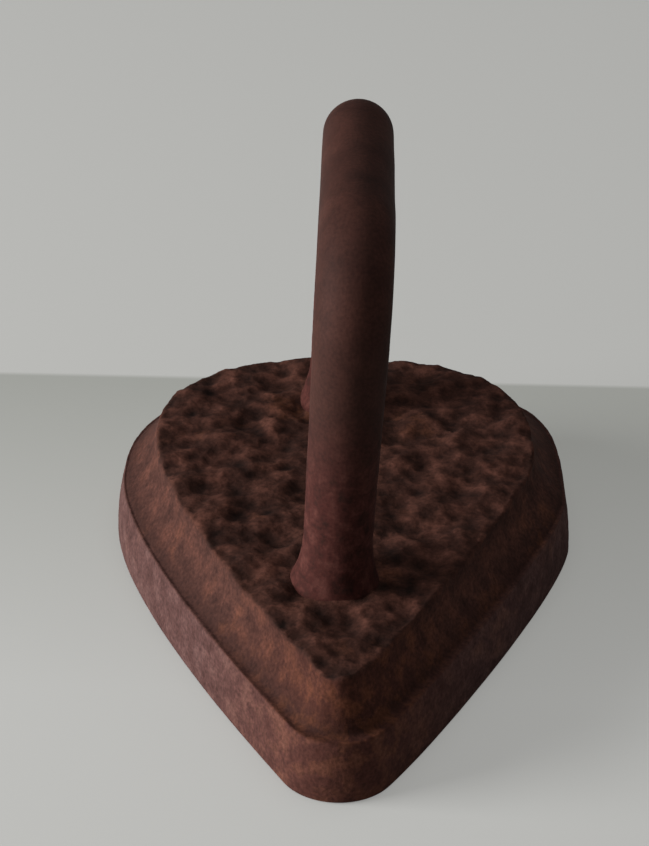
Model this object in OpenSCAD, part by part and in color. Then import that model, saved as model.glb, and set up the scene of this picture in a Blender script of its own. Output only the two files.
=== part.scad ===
// Solid flat iron for laundry, of the kind that was heated on a stove.
// A cast body in two tiers carries a loop of round wrought bar, cast in by its two roots.
// The origin is the centre of the sole, on the face that it stands on.
// The nose points to -Y, +Z is up, and a pair of values in brackets is for the left and the right side.

/* [Sole outline] */
// Greatest width of the sole
sole_w = 116; // [104:1:124]
// Length of the sole from the nose to the back
sole_l = 164; // [156:1:176]
// Radius of the nose, seen from above
nose_r = 14; // [12:0.5:18]
// How far the widest place of each side lies behind the middle of the length
wide_y = [33, 25]; // [20:1:38]
// Angle between each flank and the centre line where the flank leaves the nose
flank_deg = [31, 34]; // [28:1:38]
// Pull of each flank's curve at the nose, which keeps the front of the flank straight
flank_lead = [21, 21]; // [15:1:40]
// Pull of each flank's curve at the widest place, which rounds the rear of the flank
flank_turn = [31, 16]; // [10:1:36]
// Fullness of each rear corner, where 2 is an ellipse and more is squarer
rear_full = [2.4, 2.8]; // [2:0.1:3.2]

/* [Body section] */
// Height of the lower tier
lower_h = 15; // [12:0.5:18]
// Height of the upper tier
upper_h = 13; // [9:0.5:16]
// How far the lower wall leans in towards its lip
lower_lean = 1.1; // [0.5:0.1:2]
// Width of the ledge between the lower lip and the foot of the upper wall
ledge_w = 1; // [0.5:0.1:2]
// How far the upper wall slopes in at the sides
slope_side = 8.5; // [6:0.5:11]
// How far the upper wall slopes in at the nose
slope_nose = 6; // [4:0.5:9]
// How far the upper wall slopes in at the back
slope_back = 8.5; // [6:0.5:11]
// Worn radius of the edge round the sole
sole_edge_r = 1; // [0.5:0.1:2]
// Height of the lumps of the sand-cast top above and below its mean level
lump_h = 0.7; // [0:0.1:1]

/* [Bar handle] */
// Radius of the bar along the grip and round the bends
grip_r = 8.5; // [7:0.25:9.5]
// Radius of the legs just above their roots
leg_r = 8; // [7:0.25:9]
// Place of the front leg along the body
front_leg_y = -34.5; // [-40:0.5:-30]
// Place of the rear leg along the body
rear_leg_y = 50; // [44:0.5:52]
// Height of the grip's axis above the sole
grip_z = 109; // [95:0.5:125]
// Radius of the front bend and of the rear bend, on the bar's axis
bend_r = [20, 18]; // [14:0.5:24]
// Lean of the whole loop towards +X
lean_deg = 2.3; // [0:0.1:3]
// Place of the legs' roots across the body
root_x = -1.5; // [-3:0.5:3]
// Radius of the swelling where each leg enters the body
root_r = 11; // [9.5:0.25:12]
// Height of the swelling above the body
root_h = 9; // [6:0.5:12]
// Depth of each cast-in root below the top of the body
tang_l = 17; // [12:0.5:18]
// Radius of the upset head that keys each root into the casting
tang_head_r = 10; // [9:0.25:12]

/* [Hidden] */
$fn = 64;

nose_n = 5;
flank_n = 16;
rear_n = 14;
shell_n = 12;
body_h = lower_h + upper_h;
nose_y = -sole_l / 2;
back_y = sole_l / 2;
foot_in = lower_lean + ledge_w;
top_in = [foot_in + slope_side, foot_in + slope_nose, foot_in + slope_back];
lip_r = 0.8;
cove_h = 1.6;
top_edge = 0.8;
below = 2;
top_centre = [0, 6];
root_sink = 2;
tang_head_h = 4;

// A point on a cubic curve from a to d, pulled towards b and c
function curve(a, b, c, d, t) =
    pow(1 - t, 3) * a + 3 * pow(1 - t, 2) * t * b + 3 * (1 - t) * t * t * c + pow(t, 3) * d;

// The same inset on the sides, the nose and the back
function even(inset) = [inset, inset, inset];

// Half of the plan outline, seen as a right side: nose arc, flank, rear corner up to the back
function half_outline(side, inset) =
    let (
        r = nose_r - (inset[0] + inset[1]) / 2,
        centre = [0, nose_y + inset[1] + r],
        a = flank_deg[side],
        start = centre + r * [cos(a), -sin(a)],
        wide = [sole_w / 2 - inset[0], wide_y[side]],
        lead = start + flank_lead[side] * [sin(a), cos(a)],
        turn = wide - [0, flank_turn[side]],
        rear = back_y - inset[2] - wide_y[side],
        power = 2 / rear_full[side]
    )
    concat(
        [for (i = [0 : nose_n - 1]) let (t = -90 + (90 - a) * i / nose_n) centre + r * [cos(t), sin(t)]],
        [for (i = [0 : flank_n - 1]) curve(start, lead, turn, wide, i / flank_n)],
        [for (i = [0 : rear_n]) let (t = 90 * i / rear_n)
            [wide.x * pow(max(cos(t), 0), power), wide.y + rear * pow(sin(t), power)]]
    );

// The whole plan outline, anticlockwise from the nose
function outline(inset) =
    let (left = half_outline(0, inset), right = half_outline(1, inset), n = len(left))
    concat(right, [for (i = [n - 2 : -1 : 1]) [-left[i].x, left[i].y]]);

// An outline lifted to one level
function ring(inset, z) = [for (p = outline(inset)) [p.x, p.y, z]];

// Height of the rough top at a place, as four long waves that cross
function lump(p) = lump_h / 2.6 * (
    sin(360 * (0.90 * p.x + 0.44 * p.y) / 17 + 40) + sin(360 * (0.87 * p.y - 0.50 * p.x) / 13 + 110)
    + 0.8 * sin(360 * (0.97 * p.x - 0.26 * p.y) / 12 + 200) + 0.7 * sin(360 * (0.20 * p.x - 0.98 * p.y) / 19));

// An outline drawn in towards the middle of the top and laid on the lumps
function top_ring(inset, scale) =
    [for (p = outline(inset)) let (q = top_centre + scale * (p - top_centre)) [q.x, q.y, body_h + lump(q)]];

// Levels of the worn edge and the lower wall up to its lip
lower_rings = concat(
    [ring(even(sole_edge_r), -below)],
    [for (a = [0 : 30 : 90]) ring(even(sole_edge_r * (1 - sin(a))), sole_edge_r * (1 - cos(a)))],
    [for (k = [0.4 : 0.3 : 1]) ring(even(lower_lean * k * k), sole_edge_r + (lower_h - lip_r - sole_edge_r) * k)],
    [for (a = [45, 90]) ring(even(lower_lean + lip_r * (1 - cos(a)) * 0.7), lower_h - lip_r * (1 - sin(a)))]
);

// Levels of the upper wall, from the cove at its foot to the edge of the top
upper_rings = concat(
    [ring(even(foot_in), lower_h), ring(even(foot_in + 0.1), lower_h + cove_h)],
    [for (k = [0.35, 0.7, 1]) ring(
        [for (i = [0 : 2]) foot_in + (top_in[i] - foot_in - top_edge / 2) * k],
        lower_h + cove_h + (upper_h - cove_h - top_edge) * k)]
);

// Rings of the rough top, from its edge to near its middle
top_rings = [for (i = [0 : shell_n - 1]) top_ring(top_in, 1 - i / shell_n)];

// A closed skin over rings that all have the same number of points
module loft(rings) {
    n = len(rings[0]);
    last = len(rings) - 1;
    peak = (last + 1) * n;
    polyhedron(
        points = concat([for (r = rings) each r], [[top_centre.x, top_centre.y, body_h + lump(top_centre)]]),
        faces = concat(
            [[for (i = [0 : n - 1]) i]],
            [for (k = [0 : last - 1], i = [0 : n - 1]) let (j = (i + 1) % n)
                each [[k * n + i, (k + 1) * n + j, k * n + j], [k * n + i, (k + 1) * n + i, (k + 1) * n + j]]],
            [for (i = [0 : n - 1]) [last * n + i, peak, last * n + (i + 1) % n]]
        )
    );
}

// Puts the loop's own plane at the legs' roots, leaning to the side
module in_loop() {
    translate([root_x, 0, body_h]) rotate([0, lean_deg, 0]) children();
}

// Cast-in root and swelling of one leg, with the body's top at zero
module root() {
    rotate_extrude() polygon([
        [0, -tang_l], [tang_head_r - 1, -tang_l], [tang_head_r, 1 - tang_l],
        [tang_head_r, tang_head_h - tang_l], [leg_r, tang_head_h + 2.5 - tang_l],
        [leg_r, -root_sink - 3], [root_r, -root_sink], [root_r, 0.22 * root_h],
        [root_r - 0.4, 0.40 * root_h], [root_r - 1.3, 0.58 * root_h],
        [leg_r + 0.6, 0.78 * root_h], [leg_r, root_h], [0, root_h]
    ]);
}

// One leg between its root and the start of its bend
module leg(bend) {
    translate([0, 0, root_h])
        cylinder(r1 = leg_r, r2 = grip_r, h = grip_z - body_h - bend - root_h);
}

// Quarter bend of the bar, from a leg below it to the grip behind it
module quarter(bend) {
    translate([0, bend, grip_z - body_h - bend]) rotate([90, 0, 90]) rotate([0, 0, 90])
        rotate_extrude(angle = 90) translate([bend, 0]) circle(r = grip_r);
}

// One end of the loop: root, leg and bend, with the grip's side towards +Y
module loop_end(bend) {
    root();
    leg(bend);
    quarter(bend);
}

module iron_body() {
    color([0.24, 0.16, 0.13])
    difference() {
        intersection() {
            loft(concat(lower_rings, upper_rings, top_rings));
            translate([-sole_w, -sole_l, 0]) cube([2 * sole_w, 2 * sole_l, 2 * body_h]);
        }
        in_loop() {
            translate([0, front_leg_y, 0]) root();
            translate([0, rear_leg_y, 0]) root();
        }
    }
}

module bar_handle() {
    color([0.33, 0.21, 0.18])
    in_loop() {
        translate([0, front_leg_y, 0]) loop_end(bend_r[0]);
        translate([0, rear_leg_y, 0]) mirror([0, 1, 0]) loop_end(bend_r[1]);
        translate([0, front_leg_y + bend_r[0], grip_z - body_h]) rotate([-90, 0, 0])
            cylinder(r = grip_r, h = rear_leg_y - front_leg_y - bend_r[0] - bend_r[1]);
    }
}

iron_body();
bar_handle();
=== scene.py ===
"""Looks of a solid flat iron: a rough sand-cast body in two tiers and a loop of worn wrought bar.

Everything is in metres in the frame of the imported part: the sole's centre is the origin, the nose
points to -Y and +Z is up. A pair of values is for the left and the right side.
"""

import logging  # noqa: E402
import math  # noqa: E402
from dataclasses import dataclass, field  # noqa: E402
from enum import Enum  # noqa: E402
from typing import Any  # noqa: E402

import bpy  # noqa: E402
import numpy as np  # noqa: E402
from mathutils import Matrix, Vector  # noqa: E402
from mathutils.geometry import delaunay_2d_cdt  # noqa: E402


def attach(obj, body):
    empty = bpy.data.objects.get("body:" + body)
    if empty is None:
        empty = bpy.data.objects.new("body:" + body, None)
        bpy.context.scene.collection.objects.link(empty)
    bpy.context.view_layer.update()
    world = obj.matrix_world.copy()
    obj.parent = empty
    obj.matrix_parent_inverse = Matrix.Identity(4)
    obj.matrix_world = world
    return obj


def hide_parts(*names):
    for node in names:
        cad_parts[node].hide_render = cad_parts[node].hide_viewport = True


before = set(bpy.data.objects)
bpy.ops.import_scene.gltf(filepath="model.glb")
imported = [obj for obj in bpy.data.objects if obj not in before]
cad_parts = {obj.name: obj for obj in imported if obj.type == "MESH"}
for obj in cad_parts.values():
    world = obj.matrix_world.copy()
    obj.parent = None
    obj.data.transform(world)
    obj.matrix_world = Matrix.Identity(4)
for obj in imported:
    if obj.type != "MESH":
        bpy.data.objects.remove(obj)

LOG = logging.getLogger("flat_iron")
MM = 0.001


class Side(Enum):
    """The two sides of the body, as indices of the paired values."""

    LEFT = 0
    RIGHT = 1


class Relief(Enum):
    """How one layer of surface relief is formed."""

    SWELL = "swell"  # soft lumps and hollows of equal weight
    PITTED = "pitted"  # round hollows that leave ridges between them
    GRAIN = "grain"  # fine crumbs that stand out of the skin


def linear(hex_colour: str) -> tuple[float, float, float, float]:
    """Turns an sRGB hex colour into the linear values that Blender's sockets hold.

    Args:
        hex_colour: Six hexadecimal digits, with or without a leading hash sign.

    Returns:
        Linear red, green and blue, and an alpha of 1.
    """
    digits = hex_colour.lstrip("#")
    parts = [int(digits[i : i + 2], 16) / 255 for i in (0, 2, 4)]
    r, g, b = (p / 12.92 if p <= 0.04045 else ((p + 0.055) / 1.055) ** 2.4 for p in parts)
    return r, g, b, 1.0


def add(tree: bpy.types.NodeTree, kind: str, links: dict | None = None, **settings: Any) -> bpy.types.Node:
    """Adds one node with its settings and its links.

    Args:
        tree: The shader or geometry tree that the node goes into.
        kind: The node's type name.
        links: Input name or index to a constant, or to the output socket that feeds it.
        **settings: The node's own properties.

    Returns:
        The new node.
    """
    made = tree.nodes.new(kind)
    for name, value in settings.items():
        setattr(made, name, value)
    for key, value in (links or {}).items():
        if isinstance(value, bpy.types.NodeSocket):
            tree.links.new(value, made.inputs[key])
        else:
            made.inputs[key].default_value = value
    return made


def mesh_piece(name: str, points: np.ndarray, faces: list, marks: dict[str, np.ndarray]) -> bpy.types.Object:
    """Makes a smooth-shaded mesh object that carries named values on its points.

    Args:
        name: The piece's name.
        points: One row of x, y and z for each point.
        faces: Lists of point indices.
        marks: Attribute name to one value for each point.

    Returns:
        The object, linked to the scene.
    """
    mesh = bpy.data.meshes.new(name)
    mesh.from_pydata(points.tolist(), [], faces)
    for mark, values in marks.items():
        layer = mesh.attributes.new(mark, "FLOAT", "POINT")
        layer.data.foreach_set("value", np.asarray(values, dtype=np.float32))
    mesh.polygons.foreach_set("use_smooth", [True] * len(mesh.polygons))
    mesh.validate()
    mesh.update()
    piece = bpy.data.objects.new(name, mesh)
    bpy.context.scene.collection.objects.link(piece)
    return piece


@dataclass(frozen=True)
class ReliefLayer:
    """One layer of relief on a cast or forged skin.

    The depth is from the lowest to the highest place that the layer could reach, so the usual
    swing is about a quarter of it.
    """

    name: str
    form: Relief
    size: float
    depth: float
    where: str
    detail: float = 2.0
    coarse: float = 0.5
    shift: tuple[float, float, float] = (0.0, 0.0, 0.0)


@dataclass(frozen=True)
class Skin:
    """A surface that is pushed in and out by layers of relief, in one geometry tree."""

    name: str
    layers: tuple[ReliefLayer, ...]

    def tree(self, material: bpy.types.Material) -> bpy.types.NodeTree:
        """Builds the geometry tree.

        Args:
            material: The finish that the tree sets on its result.

        Returns:
            A tree with a size and a depth input for each layer.
        """
        tree = bpy.data.node_groups.new(self.name, "GeometryNodeTree")
        face = tree.interface
        face.new_socket("Geometry", in_out="INPUT", socket_type="NodeSocketGeometry")
        face.new_socket("Geometry", in_out="OUTPUT", socket_type="NodeSocketGeometry")
        for layer in self.layers:
            for word, value in (("Size", layer.size), ("Depth", layer.depth)):
                socket = face.new_socket(f"{layer.name} {word}", in_out="INPUT",
                                         socket_type="NodeSocketFloat")
                socket.default_value = value
        source = add(tree, "NodeGroupInput")
        place = add(tree, "GeometryNodeInputPosition").outputs[0]
        height: Any = 0.0
        for layer in self.layers:
            height = self.raised(tree, layer, source, place, height)
        outwards = add(tree, "GeometryNodeInputNormal").outputs[0]
        push = add(tree, "ShaderNodeVectorMath", {0: outwards, 3: height}, operation="SCALE")
        moved = add(tree, "GeometryNodeSetPosition",
                    {"Geometry": source.outputs["Geometry"], "Offset": push.outputs[0]})
        in_mm = add(tree, "ShaderNodeMath", {0: height, 1: 1 / MM}, operation="MULTIPLY")
        told = add(tree, "GeometryNodeStoreNamedAttribute",
                   {"Geometry": moved.outputs[0], "Name": "relief", "Value": in_mm.outputs[0]},
                   data_type="FLOAT", domain="POINT")
        real = add(tree, "GeometryNodeRealizeInstances", {"Geometry": told.outputs[0]})
        dressed = add(tree, "GeometryNodeSetMaterial", {"Geometry": real.outputs[0], "Material": material})
        add(tree, "NodeGroupOutput", {"Geometry": dressed.outputs[0]})
        return tree

    @staticmethod
    def raised(tree: bpy.types.NodeTree, layer: ReliefLayer, source: bpy.types.Node,
               place: bpy.types.NodeSocket, height: Any) -> bpy.types.NodeSocket:
        """Adds one layer's height to the height so far.

        Args:
            tree: The geometry tree.
            layer: The layer to add.
            source: The group's input node.
            place: The position field.
            height: The height so far, a socket or 0.

        Returns:
            The socket of the new height.
        """
        size = source.outputs[f"{layer.name} Size"]
        depth = source.outputs[f"{layer.name} Depth"]
        scale = add(tree, "ShaderNodeMath", {0: 1.0, 1: size}, operation="DIVIDE")
        moved = add(tree, "ShaderNodeVectorMath", {0: place, 1: layer.shift}, operation="ADD")
        if layer.form is Relief.PITTED:
            form = add(tree, "ShaderNodeTexVoronoi",
                       {"Vector": moved.outputs[0], "Scale": scale.outputs[0], "Smoothness": 0.35,
                        "Randomness": 1.0}, feature="SMOOTH_F1", voronoi_dimensions="3D")
            middle = 0.42
        else:
            form = add(tree, "ShaderNodeTexNoise",
                       {"Vector": moved.outputs[0], "Scale": scale.outputs[0], "Detail": layer.detail,
                        "Roughness": layer.coarse}, noise_dimensions="3D")
            middle = 0.5 if layer.form is Relief.SWELL else 0.58
        off = add(tree, "ShaderNodeMath", {0: form.outputs[0], 1: middle}, operation="SUBTRACT").outputs[0]
        if layer.form is Relief.GRAIN:
            off = add(tree, "ShaderNodeMath", {0: off, 1: 0.0}, operation="MAXIMUM").outputs[0]
        mask = add(tree, "GeometryNodeInputNamedAttribute", {"Name": layer.where}, data_type="FLOAT")
        strength = add(tree, "ShaderNodeMath", {0: mask.outputs["Attribute"], 1: depth}, operation="MULTIPLY")
        return add(tree, "ShaderNodeMath", {0: off, 1: strength.outputs[0], 2: height},
                   operation="MULTIPLY_ADD").outputs[0]

    def applied(self, piece: bpy.types.Object, material: bpy.types.Material) -> None:
        """Runs the tree on a piece and keeps its result as the piece's own plain mesh."""
        tree = self.tree(material)
        modifier = piece.modifiers.new(self.name, "NODES")
        modifier.node_group = tree
        for item in tree.interface.items_tree:
            if item.in_out == "INPUT" and item.socket_type == "NodeSocketFloat":
                modifier[item.identifier] = item.default_value
        graph = bpy.context.evaluated_depsgraph_get()
        shaped = bpy.data.meshes.new_from_object(piece.evaluated_get(graph), depsgraph=graph)
        piece.modifiers.clear()
        piece.data = shaped


@dataclass(frozen=True)
class RustedCastIron:
    """Sand-cast grey iron under an even coat of old rust.

    Its skin scatters like dry earth with hardly any gloss. It is near black in the hollows, brown
    with a red cast on the ridges, orange where rust is still live, and dusty pink on the bare lower walls,
    which is partly dust and partly a painted sheen.
    """

    name: str = "rusted_cast_iron"
    hollow: str = "#180e0b"
    scale: str = "#331e18"
    ridge: str = "#52332a"
    upper_dark: str = "#2b1915"
    upper_wall: str = "#3f2721"
    upper_pale: str = "#513229"
    # Lower tier: paler and pinker than the upper tier, partly dust and partly a painted sheen.
    lower_dark: str = "#3a2522"
    lower_wall: str = "#4a3330"
    lower_pale: str = "#5c4440"
    nose_rust: str = "#3d1e15"
    live_rust: str = "#7c4a2c"
    roughness: float = 0.86
    patch: float = 26 * MM
    mottle: float = 5 * MM
    grit: float = 0.9 * MM

    def made(self) -> bpy.types.Material:
        """Builds the material.

        Returns:
            A node material that reads object coordinates and the piece's relief and place marks.
        """
        material = bpy.data.materials.new(self.name)
        material.use_nodes = True
        tree = material.node_tree
        tree.nodes.clear()
        place = add(tree, "ShaderNodeTexCoord").outputs["Object"]
        marks = {
            word: add(tree, "ShaderNodeAttribute", attribute_name=word).outputs["Fac"]
            for word in ("relief", "top", "foot", "nose", "low")
        }
        patch = add(tree, "ShaderNodeTexNoise", {"Vector": place, "Scale": 1 / self.patch, "Detail": 3.0,
                                                 "Roughness": 0.55})
        mottle = add(tree, "ShaderNodeTexNoise", {"Vector": place, "Scale": 1 / self.mottle, "Detail": 4.0,
                                                  "Roughness": 0.62})
        grit = add(tree, "ShaderNodeTexNoise", {"Vector": place, "Scale": 1 / self.grit, "Detail": 2.0})
        high = add(tree, "ShaderNodeMapRange", {"Value": marks["relief"], "From Min": -0.55, "From Max": 0.6})
        tone = add(tree, "ShaderNodeMix", {0: 0.45, 2: high.outputs[0], 3: mottle.outputs[0]},
                   data_type="FLOAT")
        top_ramp = add(tree, "ShaderNodeValToRGB", {"Fac": tone.outputs[0]})
        self.ramp(top_ramp, ((0.22, self.hollow), (0.5, self.scale), (0.78, self.ridge)))
        upper = add(tree, "ShaderNodeValToRGB", {"Fac": mottle.outputs[0]})
        self.ramp(upper, ((0.25, self.upper_dark), (0.5, self.upper_wall), (0.75, self.upper_pale)))
        lower = add(tree, "ShaderNodeValToRGB", {"Fac": mottle.outputs[0]})
        self.ramp(lower, ((0.25, self.lower_dark), (0.5, self.lower_wall), (0.75, self.lower_pale)))
        wall = add(tree, "ShaderNodeMix", {0: marks["low"], 6: upper.outputs[0], 7: lower.outputs[0]},
                   data_type="RGBA")
        body = add(tree, "ShaderNodeMix", {0: marks["top"], 6: wall.outputs[2], 7: top_ramp.outputs[0]},
                   data_type="RGBA")
        browner = add(tree, "ShaderNodeMath", {0: marks["nose"], 1: 0.65}, operation="MULTIPLY")
        warm = add(tree, "ShaderNodeMix",
                   {0: browner.outputs[0], 6: body.outputs[2], 7: linear(self.nose_rust)}, data_type="RGBA")
        # The foot mark pulls the lip and the cove towards upper_dark: partly grime, partly painted shade in the
        # recess.
        foot = add(tree, "ShaderNodeMath", {0: marks["foot"], 1: 0.8}, operation="MULTIPLY")
        shaded = add(tree, "ShaderNodeMix",
                     {0: foot.outputs[0], 6: warm.outputs[2], 7: linear(self.upper_dark)}, data_type="RGBA")
        spot = add(tree, "ShaderNodeMapRange", {"Value": patch.outputs[0], "From Min": 0.56, "From Max": 0.7})
        spot_fine = add(tree, "ShaderNodeMapRange",
                        {"Value": mottle.outputs[0], "From Min": 0.45, "From Max": 0.62})
        live = add(tree, "ShaderNodeMath", {0: spot.outputs[0], 1: spot_fine.outputs[0]},
                   operation="MULTIPLY")
        near = add(tree, "ShaderNodeMath", {0: marks["nose"], 1: spot_fine.outputs[0], 2: live.outputs[0]},
                   operation="MULTIPLY_ADD", use_clamp=True)
        amount = add(tree, "ShaderNodeMath", {0: near.outputs[0], 1: 0.16}, operation="MULTIPLY")
        rusty = add(tree, "ShaderNodeMix",
                    {0: amount.outputs[0], 6: shaded.outputs[2], 7: linear(self.live_rust)}, data_type="RGBA")
        fleck = add(tree, "ShaderNodeMapRange", {"Value": grit.outputs[0], "From Min": 0.3, "From Max": 0.7,
                                                 "To Min": 0.72, "To Max": 1.28})
        colour = add(tree, "ShaderNodeVectorMath", {0: rusty.outputs[2], 3: fleck.outputs[0]},
                     operation="SCALE")
        bump = add(tree, "ShaderNodeBump", {"Height": grit.outputs[0], "Strength": 0.55, "Distance": 0.25 * MM})
        matt = add(tree, "ShaderNodeMapRange", {"Value": mottle.outputs[0], "To Min": self.roughness - 0.08,
                                                "To Max": self.roughness + 0.08})
        shader = add(tree, "ShaderNodeBsdfPrincipled",
                     {"Base Color": colour.outputs[0], "Roughness": matt.outputs[0], "Normal": bump.outputs[0],
                      "Specular IOR Level": 0.07})
        add(tree, "ShaderNodeOutputMaterial", {"Surface": shader.outputs[0]})
        return material

    @staticmethod
    def ramp(node: bpy.types.Node, stops: tuple[tuple[float, str], ...]) -> None:
        """Sets a colour ramp's stops from places and hex colours."""
        band = node.color_ramp
        while len(band.elements) < len(stops):
            band.elements.new(0.5)
        for element, (at, colour) in zip(band.elements, stops, strict=True):
            element.position = at
            element.color = linear(colour)


@dataclass(frozen=True)
class WornWroughtIron:
    """Forged round bar of wrought iron, rusted and then rubbed by hands.

    The grip and the bends are smooth brown with a dull shine. The legs are redder and rougher
    towards their roots, with pale scale left on them.
    """

    name: str = "worn_wrought_iron"
    rubbed: str = "#38201a"
    dark: str = "#271511"
    red: str = "#3a1c18"
    pale: str = "#4e2d27"
    smooth: float = 0.74
    rough: float = 0.85
    patch: float = 12 * MM
    mottle: float = 3.5 * MM
    grit: float = 0.8 * MM

    def made(self) -> bpy.types.Material:
        """Builds the material.

        Returns:
            A node material that reads object coordinates and the piece's wear mark.
        """
        material = bpy.data.materials.new(self.name)
        material.use_nodes = True
        tree = material.node_tree
        tree.nodes.clear()
        place = add(tree, "ShaderNodeTexCoord").outputs["Object"]
        wear = add(tree, "ShaderNodeAttribute", attribute_name="wear").outputs["Fac"]
        patch = add(tree, "ShaderNodeTexNoise", {"Vector": place, "Scale": 1 / self.patch, "Detail": 3.0})
        mottle = add(tree, "ShaderNodeTexNoise", {"Vector": place, "Scale": 1 / self.mottle, "Detail": 3.0,
                                                  "Roughness": 0.6})
        grit = add(tree, "ShaderNodeTexNoise", {"Vector": place, "Scale": 1 / self.grit, "Detail": 2.0})
        worn = add(tree, "ShaderNodeValToRGB", {"Fac": patch.outputs[0]})
        RustedCastIron.ramp(worn, ((0.3, self.dark), (0.65, self.rubbed)))
        raw = add(tree, "ShaderNodeValToRGB", {"Fac": mottle.outputs[0]})
        RustedCastIron.ramp(raw, ((0.3, self.dark), (0.5, self.red), (0.78, self.pale)))
        mixed = add(tree, "ShaderNodeMix", {0: wear, 6: raw.outputs[0], 7: worn.outputs[0]}, data_type="RGBA")
        fleck = add(tree, "ShaderNodeMapRange", {"Value": grit.outputs[0], "From Min": 0.3, "From Max": 0.7,
                                                 "To Min": 0.8, "To Max": 1.2})
        colour = add(tree, "ShaderNodeVectorMath", {0: mixed.outputs[2], 3: fleck.outputs[0]},
                     operation="SCALE")
        gloss = add(tree, "ShaderNodeMix", {0: wear, 2: self.rough, 3: self.smooth}, data_type="FLOAT")
        bump = add(tree, "ShaderNodeBump", {"Height": grit.outputs[0], "Strength": 0.3, "Distance": 0.2 * MM})
        shader = add(tree, "ShaderNodeBsdfPrincipled",
                     {"Base Color": colour.outputs[0], "Roughness": gloss.outputs[0], "Normal": bump.outputs[0],
                      "Specular IOR Level": 0.09})
        add(tree, "ShaderNodeOutputMaterial", {"Surface": shader.outputs[0]})
        return material


@dataclass(frozen=True)
class SoleOutline:
    """The body's outline from above: nose arc, two flanks and a full round back.

    The fullness of a rear corner is 2 for an ellipse and more for a squarer one. It passes from the
    sole's value to the top's as an outline is drawn in.
    """

    width: float = 116 * MM
    length: float = 164 * MM
    nose_radius: float = 14 * MM
    wide_y: tuple[float, float] = (33 * MM, 25 * MM)
    flank_angle: tuple[float, float] = (31.0, 34.0)
    flank_lead: tuple[float, float] = (21 * MM, 21 * MM)
    flank_turn: tuple[float, float] = (31 * MM, 16 * MM)
    rear_full: tuple[float, float] = (2.6, 4.0)
    rear_full_top: tuple[float, float] = (2.4, 2.9)
    top_inset: float = 10.6 * MM

    def half(self, side: Side, inset: tuple[float, float, float], steps: np.ndarray) -> np.ndarray:
        """Points of one half from the nose to the back, as a right side.

        Args:
            side: Which half.
            inset: How far it is drawn in at the sides, the nose and the back.
            steps: Places along the half: 0 to 1 the nose arc, 1 to 2 the flank, 2 to 3 the rear.

        Returns:
            One row of x and y for each step.
        """
        at = side.value
        radius = self.nose_radius - (inset[0] + inset[1]) / 2
        centre = np.array([0.0, -self.length / 2 + inset[1] + radius])
        turn = math.radians(self.flank_angle[at])
        start = centre + radius * np.array([math.cos(turn), -math.sin(turn)])
        wide = np.array([self.width / 2 - inset[0], self.wide_y[at]])
        lead = start + self.flank_lead[at] * np.array([math.sin(turn), math.cos(turn)])
        bend = wide - np.array([0.0, self.flank_turn[at]])
        rear = self.length / 2 - inset[2] - self.wide_y[at]
        full = np.interp(inset[0], (0, self.top_inset), (self.rear_full[at], self.rear_full_top[at]))
        power = 2 / float(full)
        arc = -math.pi / 2 + (math.pi / 2 - turn) * np.clip(steps, 0, 1)[:, None]
        nose = centre + radius * np.hstack([np.cos(arc), np.sin(arc)])
        t = np.clip(steps - 1, 0, 1)[:, None]
        flank = (1 - t) ** 3 * start + 3 * (1 - t) ** 2 * t * lead + 3 * (1 - t) * t**2 * bend + t**3 * wide
        back = math.pi / 2 * np.clip(steps - 2, 0, 1)[:, None]
        corner = np.hstack([wide[0] * np.maximum(np.cos(back), 0) ** power,
                            wide[1] + rear * np.maximum(np.sin(back), 0) ** power])
        index = np.minimum(steps.astype(int), 2)[:, None]
        return np.where(index == 0, nose, np.where(index == 1, flank, corner))

    def even_steps(self, side: Side, count: int) -> np.ndarray:
        """Places along one half that are the same distance apart on the sole.

        Args:
            side: Which half.
            count: How many stretches the half gets.

        Returns:
            The places, from 0 at the nose to 3 at the back.
        """
        dense = np.linspace(0, 3, 6001)
        points = self.half(side, (0.0, 0.0, 0.0), dense)
        run = np.concatenate([[0], np.cumsum(np.linalg.norm(np.diff(points, axis=0), axis=1))])
        return np.interp(np.linspace(0, run[-1], count + 1), run, dense)

    def ring(self, inset: tuple[float, float, float], steps: tuple[np.ndarray, np.ndarray]) -> np.ndarray:
        """The closed outline, anticlockwise from the nose."""
        left = self.half(Side.LEFT, inset, steps[0])
        right = self.half(Side.RIGHT, inset, steps[1])
        return np.vstack([right, left[-2:0:-1] * [-1, 1]])


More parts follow.
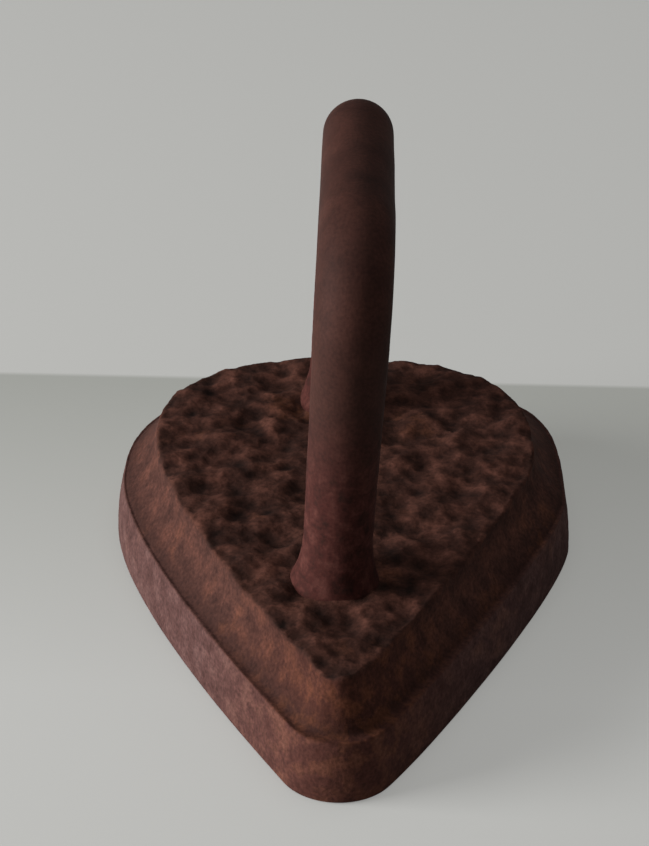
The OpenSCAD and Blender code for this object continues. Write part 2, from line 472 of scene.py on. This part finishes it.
@dataclass
class CastBody:
    """The iron's body: a lower tier, a ledge, a hollowed upper tier and a rough top.

    The foot and the top are drawn in by their own amounts at the sides, the nose and the back.
    """

    outline: SoleOutline = field(default_factory=SoleOutline)
    lower_height: float = 15 * MM
    upper_height: float = 13 * MM
    lower_lean: float = 1.6 * MM
    foot: tuple[float, float, float] = (2.8 * MM, 4.6 * MM, 3.2 * MM)
    top: tuple[float, float, float] = (10.6 * MM, 8.1 * MM, 10.6 * MM)
    sole_edge: float = 0.4 * MM
    lip: float = 0.5 * MM
    cove: float = 0.5 * MM
    concave: float = 1.6
    # How far up the upper wall the foot's darkening reaches: grime plus painted shade in the cove.
    grime_and_shade_reach: float = 2.2
    brim_blend: float = 2 * MM
    nose_reach: float = 45 * MM
    brim: float = 0.8 * MM
    lump: float = 0.7 * MM
    middle: tuple[float, float] = (0.0, 6 * MM)
    around: int = 352
    pitch: float = 0.66 * MM

    @property
    def height(self) -> float:
        """Mean height of the top above the sole."""
        return self.lower_height + self.upper_height

    def profile(self) -> list[tuple[tuple[float, float, float], float, float]]:
        """The wall's stations from the sole to the brim.

        Returns:
            Insets at the sides, nose and back, the height, and how much grime and painted shade the foot holds.
        """
        lip_in = self.lower_lean + 0.7 * self.lip
        stations = []
        for a in np.linspace(0, math.pi / 2, 4):
            drawn_in = self.sole_edge * (1 - math.sin(a))
            stations.append(((drawn_in,) * 3, self.sole_edge * (1 - math.cos(a)), 0.0))
        rise = self.lower_height - self.lip - self.sole_edge
        for k in np.linspace(0, 1, 21)[1:]:
            stations.append(((self.lower_lean * k * k,) * 3, self.sole_edge + rise * k, 0.0))
        for a in np.linspace(0, math.pi / 2, 4)[1:]:
            stations.append(((self.lower_lean + 0.7 * self.lip * (1 - math.cos(a)),) * 3,
                             self.lower_height - self.lip * (1 - math.sin(a)), 0.3 * math.sin(a)))
        for k in np.linspace(0, 1, 5)[1:]:
            inset = tuple(lip_in + (f - lip_in) * k for f in self.foot)
            stations.append((inset, self.lower_height + self.cove * (k**3 - 0.2 * math.sin(math.pi * k)),
                             0.3 + 0.7 * k))
        rise = self.upper_height - self.cove - self.brim
        for k in np.linspace(0, 1, 21)[1:]:
            bend = 1 - (1 - k) ** self.concave
            inset = tuple(f + (t - self.brim / 2 - f) * bend for f, t in zip(self.foot, self.top, strict=True))
            # The cove's darkening fades up the wall: partly grime, partly painted shade.
            grime_and_shade = max(0.0, 1 - self.grime_and_shade_reach * k) ** 1.5
            stations.append((inset, self.lower_height + self.cove + rise * k, grime_and_shade))
        return stations

    def lumps(self, x: np.ndarray, y: np.ndarray) -> np.ndarray:
        """Height of the long waves of the top, the same as the solid's."""
        x, y = x / MM, y / MM
        turn = 2 * math.pi
        return self.lump / 2.6 * (
            np.sin(turn * (0.90 * x + 0.44 * y) / 17 + math.radians(40))
            + np.sin(turn * (0.87 * y - 0.50 * x) / 13 + math.radians(110))
            + 0.8 * np.sin(turn * (0.97 * x - 0.26 * y) / 12 + math.radians(200))
            + 0.7 * np.sin(turn * (0.20 * x - 0.98 * y) / 19)
        )

    def top_cells(self, rim: np.ndarray) -> tuple[np.ndarray, list]:
        """Fills the top's outline with an even net of triangles.

        Args:
            rim: The top's outline.

        Returns:
            The points, the rim's first, and the triangles.
        """
        middle = np.array(self.middle)
        spokes = rim - middle
        angle = np.arctan2(spokes[:, 1], spokes[:, 0])
        order = np.argsort(angle)
        reach = np.linalg.norm(spokes, axis=1)
        low, high = rim.min(axis=0), rim.max(axis=0)
        rows = np.arange(low[1], high[1], self.pitch * 0.87)
        columns = np.arange(low[0], high[0], self.pitch)
        grid = np.array([(x + (i % 2) * self.pitch / 2, y) for i, y in enumerate(rows) for x in columns])
        shake = np.random.default_rng(7).uniform(-0.2, 0.2, grid.shape) * self.pitch
        inner = grid + shake - middle
        bearing = np.arctan2(inner[:, 1], inner[:, 0])
        allowed = np.interp(bearing, angle[order], reach[order], period=2 * math.pi)
        inner = inner[np.linalg.norm(inner, axis=1) < allowed - 0.7 * self.pitch] + middle
        points = np.vstack([rim, inner])
        edges = [(i, (i + 1) % len(rim)) for i in range(len(rim))]
        placed, _, cells, _, _, _ = delaunay_2d_cdt([Vector(p) for p in points], edges, [], 1, 1e-7)
        return np.array([tuple(p) for p in placed]), [list(c) for c in cells]

    def build(self, material: bpy.types.Material) -> bpy.types.Object:
        """Builds the body and its skin.

        Args:
            material: The rusted finish.

        Returns:
            The finished piece.
        """
        steps = tuple(self.outline.even_steps(side, self.around) for side in Side)
        stations = self.profile()
        rings = [self.outline.ring(inset, steps) for inset, _, _ in stations]
        n = len(rings[0])
        rim = self.outline.ring(self.top, steps)
        flat, cells = self.top_cells(rim)
        walls = [np.column_stack([ring, np.full(n, z)])
                 for ring, (_, z, _) in zip(rings, stations, strict=True)]
        top = np.column_stack([flat, self.height + self.lumps(flat[:, 0], flat[:, 1])])
        points = np.vstack([*walls, top])
        faces: list = [list(range(n))[::-1]]
        base = len(rings) * n
        for k in range(len(rings)):
            for i in range(n):
                j = (i + 1) % n
                faces.append([k * n + i, k * n + j, (k + 1) * n + j, (k + 1) * n + i])
        faces += [[base + v for v in cell] for cell in cells]
        piece = mesh_piece("cast_body", points, faces, self.marks(points, stations, n, base))
        CAST_SKIN.applied(piece, material)
        return piece

    def marks(self, points: np.ndarray, stations: list, n: int, base: int) -> dict[str, np.ndarray]:
        """Place marks that steer the relief and the finish.

        Args:
            points: All points of the body.
            stations: The wall's stations.
            n: Points in a ring.
            base: Index of the first point of the top.

        Returns:
            Mark name to one value for each point.
        """
        total = len(points)
        z = points[:, 2]
        is_top = np.arange(total) >= base
        # The foot mark darkens the lip and the cove: partly grime, partly painted shade in the recess.
        grime_and_shade = np.zeros(total)
        grime_and_shade[:base] = np.repeat([s[2] for s in stations], n)
        rise = (z - (self.height - self.brim_blend)) / self.brim_blend
        wall = np.where(is_top, 0.0, np.clip(z / (1.2 * MM), 0, 1))
        nose = np.clip(1 - (points[:, 1] + self.outline.length / 2) / self.nose_reach, 0, 1)
        return {
            "top": np.where(is_top, 1.0, np.clip(rise, 0, 1) ** 2 * 0.6),
            "wall": wall,
            "foot": grime_and_shade,
            "low": np.clip((self.lower_height + 0.2 * MM - z) / (0.6 * MM), 0, 1),
            "nose": nose * np.where(is_top, 0.0, 1.0),
        }


CAST_SKIN = Skin(
    "sand_cast_skin",
    (
        ReliefLayer("Top Lump", Relief.SWELL, 7 * MM, 2.0 * MM, "top", detail=3.0, coarse=0.55),
        ReliefLayer("Top Pit", Relief.PITTED, 4.2 * MM, 0.8 * MM, "top"),
        ReliefLayer("Top Crumb", Relief.GRAIN, 1.8 * MM, 1.2 * MM, "top", detail=2.0, shift=(0.3, 0.1, 0.2)),
        ReliefLayer("Wall Swell", Relief.SWELL, 24 * MM, 1.0 * MM, "wall", detail=1.0),
        ReliefLayer("Wall Tooth", Relief.SWELL, 3.0 * MM, 0.32 * MM, "wall", detail=3.0, coarse=0.6),
    ),
)


@dataclass
class BarHandle:
    """The loop of round bar: two drawn-down legs with swollen roots, two bends and a grip."""

    grip_radius: float = 8.5 * MM
    leg_radius: float = 8 * MM
    front_y: float = -34.5 * MM
    rear_y: float = 50 * MM
    grip_z: float = 109 * MM
    bends: tuple[float, float] = (20 * MM, 18 * MM)
    lean: float = 2.3
    root_x: float = -1.5 * MM
    root_radius: float = 10.2 * MM
    root_height: float = 12 * MM
    sunk: float = 8 * MM
    body_top: float = 28 * MM
    worn_from: float = 0.3
    worn_fully: float = 0.6
    lumpy: float = 14 * MM
    step: float = 0.8 * MM
    around: int = 72

    def centre_line(self) -> tuple[np.ndarray, np.ndarray]:
        """The bar's axis in its own plane.

        Returns:
            Rows of y and z, and the direction at each.
        """
        front, rear = self.bends
        low = self.body_top - self.sunk
        pieces = [
            [(self.front_y, z) for z in np.arange(low, self.grip_z - front, self.step)],
            [(self.front_y + front - front * math.cos(a), self.grip_z - front + front * math.sin(a))
             for a in np.arange(0, math.pi / 2, self.step / front)],
            [(y, self.grip_z) for y in np.arange(self.front_y + front, self.rear_y - rear, self.step)],
            [(self.rear_y - rear + rear * math.sin(a), self.grip_z - rear + rear * math.cos(a))
             for a in np.arange(0, math.pi / 2, self.step / rear)],
            [(self.rear_y, z) for z in np.arange(self.grip_z - rear, low, -self.step)],
        ]
        line = np.array([p for piece in pieces for p in piece])
        way = np.gradient(line, axis=0)
        return line, way / np.linalg.norm(way, axis=1)[:, None]

    def radius(self, y: float, z: float) -> float:
        """Radius of the bar at a place on its axis."""
        up = z - self.body_top
        leg_top = self.grip_z - (self.bends[0] if y < 0 else self.bends[1]) - self.body_top
        swelling = (
            (-1.0, self.root_radius),
            (0.05, self.root_radius),
            (0.14, self.root_radius - 0.5 * MM),
            (0.3, self.root_radius - 1.1 * MM),
            (0.6, self.leg_radius + 0.4 * MM),
            (1.0, self.leg_radius),
        )
        at = [share * self.root_height for share, _ in swelling] + [leg_top]
        values = [r for _, r in swelling] + [self.grip_radius]
        return float(np.interp(up, at, values))

    def build(self, material: bpy.types.Material) -> bpy.types.Object:
        """Builds the bar and its skin.

        Args:
            material: The worn finish.

        Returns:
            The finished piece.
        """
        line, way = self.centre_line()
        turn = np.linspace(0, 2 * math.pi, self.around, endpoint=False)
        rows, wear, root = [], [], []
        for (y, z), (wy, wz) in zip(line, way, strict=True):
            r = self.radius(y, z)
            across = r * np.cos(turn)
            out = r * np.sin(turn)
            rows.append(np.column_stack([across, y + out * -wz, z + out * wy]))
            up = (z - self.body_top) / (self.grip_z - self.body_top)
            wear.append(np.full(self.around, np.interp(up, (self.worn_from, self.worn_fully), (0, 1))))
            root.append(np.full(self.around, np.clip(1 - (z - self.body_top) / self.lumpy, 0, 1)))
        points = np.vstack(rows)
        points[:, 2] -= self.body_top
        tilt = math.radians(self.lean)
        x, z = points[:, 0].copy(), points[:, 2].copy()
        points[:, 0] = x * math.cos(tilt) + z * math.sin(tilt) + self.root_x
        points[:, 2] = z * math.cos(tilt) - x * math.sin(tilt) + self.body_top
        n, m = self.around, len(line)
        faces: list = [list(range(n)), list(range((m - 1) * n, m * n))[::-1]]
        for k in range(m - 1):
            for i in range(n):
                j = (i + 1) % n
                faces.append([k * n + j, k * n + i, (k + 1) * n + i, (k + 1) * n + j])
        rough = 1 - np.concatenate(wear)
        piece = mesh_piece("bar_loop", points, faces, {
            "wear": np.concatenate(wear), "rough": rough, "root": np.concatenate(root),
            "whole": np.ones(len(points)),
        })
        BAR_SKIN.applied(piece, material)
        return piece


BAR_SKIN = Skin(
    "forged_bar_skin",
    (
        ReliefLayer("Hammer Swell", Relief.SWELL, 19 * MM, 0.4 * MM, "whole", detail=1.0),
        ReliefLayer("Rust Tooth", Relief.SWELL, 2.4 * MM, 0.35 * MM, "rough", detail=3.0, coarse=0.6),
        ReliefLayer("Root Lump", Relief.SWELL, 6 * MM, 1.2 * MM, "root", detail=2.0),
    ),
)


@dataclass(frozen=True)
class Shelf:
    """The pale floor, which turns greyer towards a line behind the iron and is paler past it.

    The evenness is the share of the floor's own colour that the camera sees whatever the light.
    """

    front: str = "#bebebb"
    rear: str = "#a1a29d"
    behind: str = "#bbbbb8"
    edge_y: float = 110.7 * MM
    fade: tuple[float, float] = (-40 * MM, 108 * MM)
    evenness: float = 0.5
    half: float = 3.0

    def build(self) -> bpy.types.Object:
        """Builds the floor and its finish."""
        s, z = self.half, -0.2 * MM
        points = np.array([(-s, -s, z), (s, -s, z), (s, s, z), (-s, s, z)])
        floor = mesh_piece("pale_floor", points, [[0, 1, 2, 3]], {})
        material = bpy.data.materials.new("matt_shelf_paint")
        material.use_nodes = True
        tree = material.node_tree
        tree.nodes.clear()
        place = add(tree, "ShaderNodeTexCoord").outputs["Object"]
        y = add(tree, "ShaderNodeSeparateXYZ", {0: place}).outputs[1]
        past = add(tree, "ShaderNodeMapRange", {"Value": y, "From Min": self.edge_y - 1 * MM,
                                                "From Max": self.edge_y + 1 * MM})
        back = add(tree, "ShaderNodeMapRange", {"Value": y, "From Min": self.fade[0], "From Max": self.fade[1]})
        shelf = add(tree, "ShaderNodeMix", {0: back.outputs[0], 6: linear(self.front), 7: linear(self.rear)},
                    data_type="RGBA")
        colour = add(tree, "ShaderNodeMix", {0: past.outputs[0], 6: shelf.outputs[2], 7: linear(self.behind)},
                     data_type="RGBA")
        shader = add(tree, "ShaderNodeBsdfPrincipled", {"Base Color": colour.outputs[2], "Roughness": 0.7,
                                                        "Specular IOR Level": 0.2})
        even = add(tree, "ShaderNodeEmission", {"Color": colour.outputs[2], "Strength": 1.0})
        seen = add(tree, "ShaderNodeMath", {0: add(tree, "ShaderNodeLightPath").outputs["Is Camera Ray"],
                                            1: self.evenness}, operation="MULTIPLY")
        mixed = add(tree, "ShaderNodeMixShader", {0: seen.outputs[0], 1: shader.outputs[0], 2: even.outputs[0]})
        add(tree, "ShaderNodeOutputMaterial", {"Surface": mixed.outputs[0]})
        floor.data.materials.append(material)
        return floor


@dataclass(frozen=True)
class Viewpoint:
    """The camera of the photograph, fitted to the iron's outline."""

    place: tuple[float, float, float] = (-0.574 * MM, -537.5 * MM, 360.0 * MM)
    yaw: float = -0.008
    pitch: float = math.radians(30)
    roll: float = 0.018
    focal_pixels: float = 2600.0
    long_side: float = 846.0
    sensor: float = 36.0

    def build(self) -> bpy.types.Object:
        """Builds the camera and makes it the scene's own."""
        ahead = Vector((math.sin(self.yaw) * math.cos(self.pitch), math.cos(self.yaw) * math.cos(self.pitch),
                        -math.sin(self.pitch)))
        right = Vector((math.cos(self.yaw), -math.sin(self.yaw), 0.0))
        up = right.cross(ahead)
        side = math.cos(self.roll) * right + math.sin(self.roll) * up
        above = math.cos(self.roll) * up - math.sin(self.roll) * right
        data = bpy.data.cameras.new("view_from_the_nose")
        data.sensor_width = self.sensor
        data.lens = self.focal_pixels * self.sensor / self.long_side
        data.clip_start = 0.01
        camera = bpy.data.objects.new(data.name, data)
        bpy.context.scene.collection.objects.link(camera)
        turned = Matrix((side, above, -ahead)).transposed().to_4x4()
        camera.matrix_world = Matrix.Translation(self.place) @ turned
        bpy.context.scene.camera = camera
        return camera


@dataclass(frozen=True)
class SoftLight:
    """One large soft lamp that looks at the iron."""

    name: str
    place: tuple[float, float, float]
    size: float
    power: float
    colour: str = "#ffffff"
    target: tuple[float, float, float] = (0.0, 0.0, 40 * MM)

    def build(self) -> bpy.types.Object:
        """Builds the lamp."""
        data = bpy.data.lights.new(self.name, "AREA")
        data.shape = "SQUARE"
        data.size = self.size
        data.energy = self.power
        data.color = linear(self.colour)[:3]
        lamp = bpy.data.objects.new(self.name, data)
        bpy.context.scene.collection.objects.link(lamp)
        lamp.location = self.place
        lamp.rotation_euler = (Vector(self.target) - Vector(self.place)).to_track_quat("-Z", "Y").to_euler()
        return lamp


@dataclass
class Studio:
    """Floor, camera, lamps and the even light of the room."""

    room: str = "#ffffff"
    room_strength: float = 0.16
    lamps: tuple[SoftLight, ...] = (
        SoftLight("window_left", (-1.35, -0.28, 0.38), 0.75, 44.0),
        SoftLight("ceiling_bounce", (0.1, 0.1, 1.6), 1.4, 7.0),
    )

    def build(self) -> None:
        """Builds everything that isn't part of the iron."""
        scene = bpy.context.scene
        scene.view_settings.view_transform = "Standard"
        world = bpy.data.worlds.new("plain_room")
        world.use_nodes = True
        world.node_tree.nodes.clear()
        back = add(world.node_tree, "ShaderNodeBackground", {"Color": linear(self.room),
                                                             "Strength": self.room_strength})
        add(world.node_tree, "ShaderNodeOutputWorld", {"Surface": back.outputs[0]})
        scene.world = world
        for lamp in self.lamps:
            lamp.build()
        Shelf().build()
        Viewpoint().build()


def finished(piece: bpy.types.Object, node: str) -> None:
    """Declares a finished piece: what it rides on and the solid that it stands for."""
    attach(piece, "root")
    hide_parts(node)
    LOG.info("%s: %d faces", piece.name, len(piece.data.polygons))


def main() -> None:
    """Builds the studio and the iron's two pieces."""
    logging.basicConfig(level=logging.INFO, format="%(name)s %(message)s")
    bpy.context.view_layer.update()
    Studio().build()
    finished(CastBody().build(RustedCastIron().made()), "iron_body")
    finished(BarHandle().build(WornWroughtIron().made()), "bar_handle")


if __name__ == "__main__":
    main()
